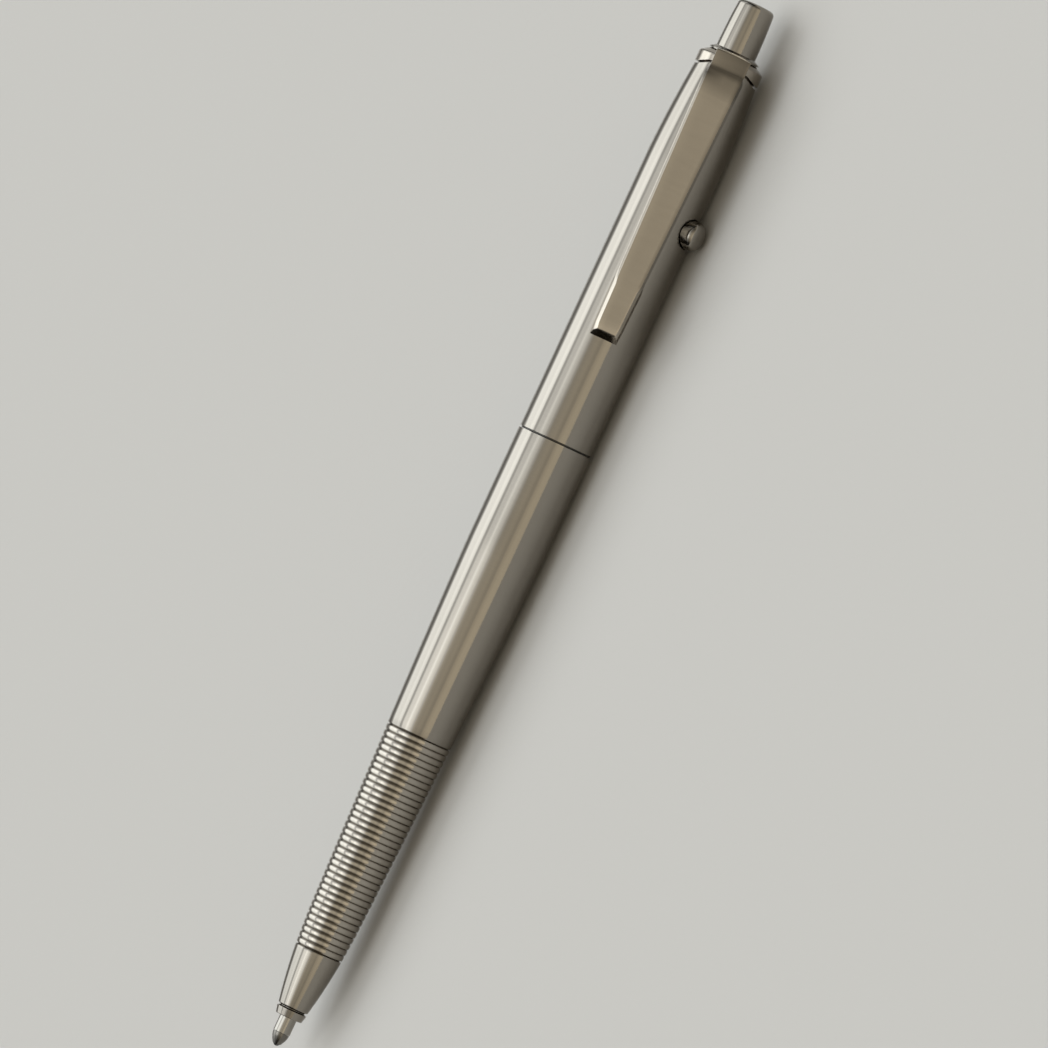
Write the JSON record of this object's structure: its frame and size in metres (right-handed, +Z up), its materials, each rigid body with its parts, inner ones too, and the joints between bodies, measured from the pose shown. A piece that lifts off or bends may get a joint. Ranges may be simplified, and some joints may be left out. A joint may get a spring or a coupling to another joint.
{
  "type": "retractable ballpoint pen",
  "caption": "Slim turned-metal retractable pen with a ribbed grip, a pressed clip, a top plunger and a side release button, point out, lying on its side.",
  "frame": {"origin": "middle of the underside of the pen as it lies on a desk", "axes": "+X along the pen from the point to the plunger, +Z up from the desk, the clip towards -Y and up"},
  "size_m": [0.1318, 0.0108, 0.0093],
  "materials": {
    "satin_metal": "satin, finely turned",
    "clip_metal": "satin, pressed",
    "plain_metal": "plain turned",
    "spring_steel": "bright wire",
    "refill_brass": "drawn",
    "point_steel": "bright turned",
    "ball_metal": "polished",
    "float_plastic": "matt",
    "ink": "wet, opaque"
  },
  "bodies": {
    "upper_body": {"upper_barrel": "satin_metal", "barrel_coupling": "plain_metal", "mechanism_housing": "plain_metal", "clip_bush": "satin_metal", "clip": "clip_metal", "button_spring": "spring_steel"},
    "front_body": {"front_barrel": "satin_metal", "nose_ferrule": "satin_metal"},
    "plunger_body": {"plunger": "satin_metal", "thrust_sleeve": "plain_metal", "thrust_pad": "plain_metal"},
    "button_body": {"release_button": "satin_metal", "catch_stem": "plain_metal"},
    "refill_body": {"refill_tube": "refill_brass", "refill_stem": "point_steel", "refill_point": "point_steel", "refill_end_plug": "refill_brass", "ink_column": "ink", "refill_spring": "spring_steel"},
    "float_body": {"refill_float": "float_plastic"},
    "ball_body": {"writing_ball": "ball_metal"}
  },
  "joints": [
    {"name": "plunger_travel", "type": "slide", "parent": "upper_body", "child": "plunger_body", "axis": [1, 0, 0], "range_m": [0, 0.0045]},
    {"name": "refill_travel", "type": "slide", "parent": "upper_body", "child": "refill_body", "axis": [1, 0, 0], "range_m": [0, 0.0045], "deforming": ["refill_spring"]},
    {"name": "button_travel", "type": "slide", "parent": "upper_body", "child": "button_body", "axis": [0, 0.8351, 0.5501], "range_m": [0, 0.0012], "deforming": ["button_spring"]},
    {"name": "front_barrel_draw_off", "type": "slide", "parent": "upper_body", "child": "front_body", "axis": [-1, 0, 0], "range_m": [0, 0.08]},
    {"name": "float_creep", "type": "slide", "parent": "refill_body", "child": "float_body", "axis": [1, 0, 0], "range_m": [-0.03, 0.021], "deforming": ["ink_column"]},
    {"name": "ball_roll", "type": "hinge", "parent": "refill_body", "child": "ball_body", "pos_m": [-0.06547, 0.00082, 0.00456], "axis": [0, 1, 0], "continuous": true}
  ],
  "couplings": [
    {"joint": "refill_travel", "follows": "plunger_travel", "ratio": 1},
    {"joint": "button_travel", "follows": "plunger_travel", "ratio": 0.26666}
  ]
}
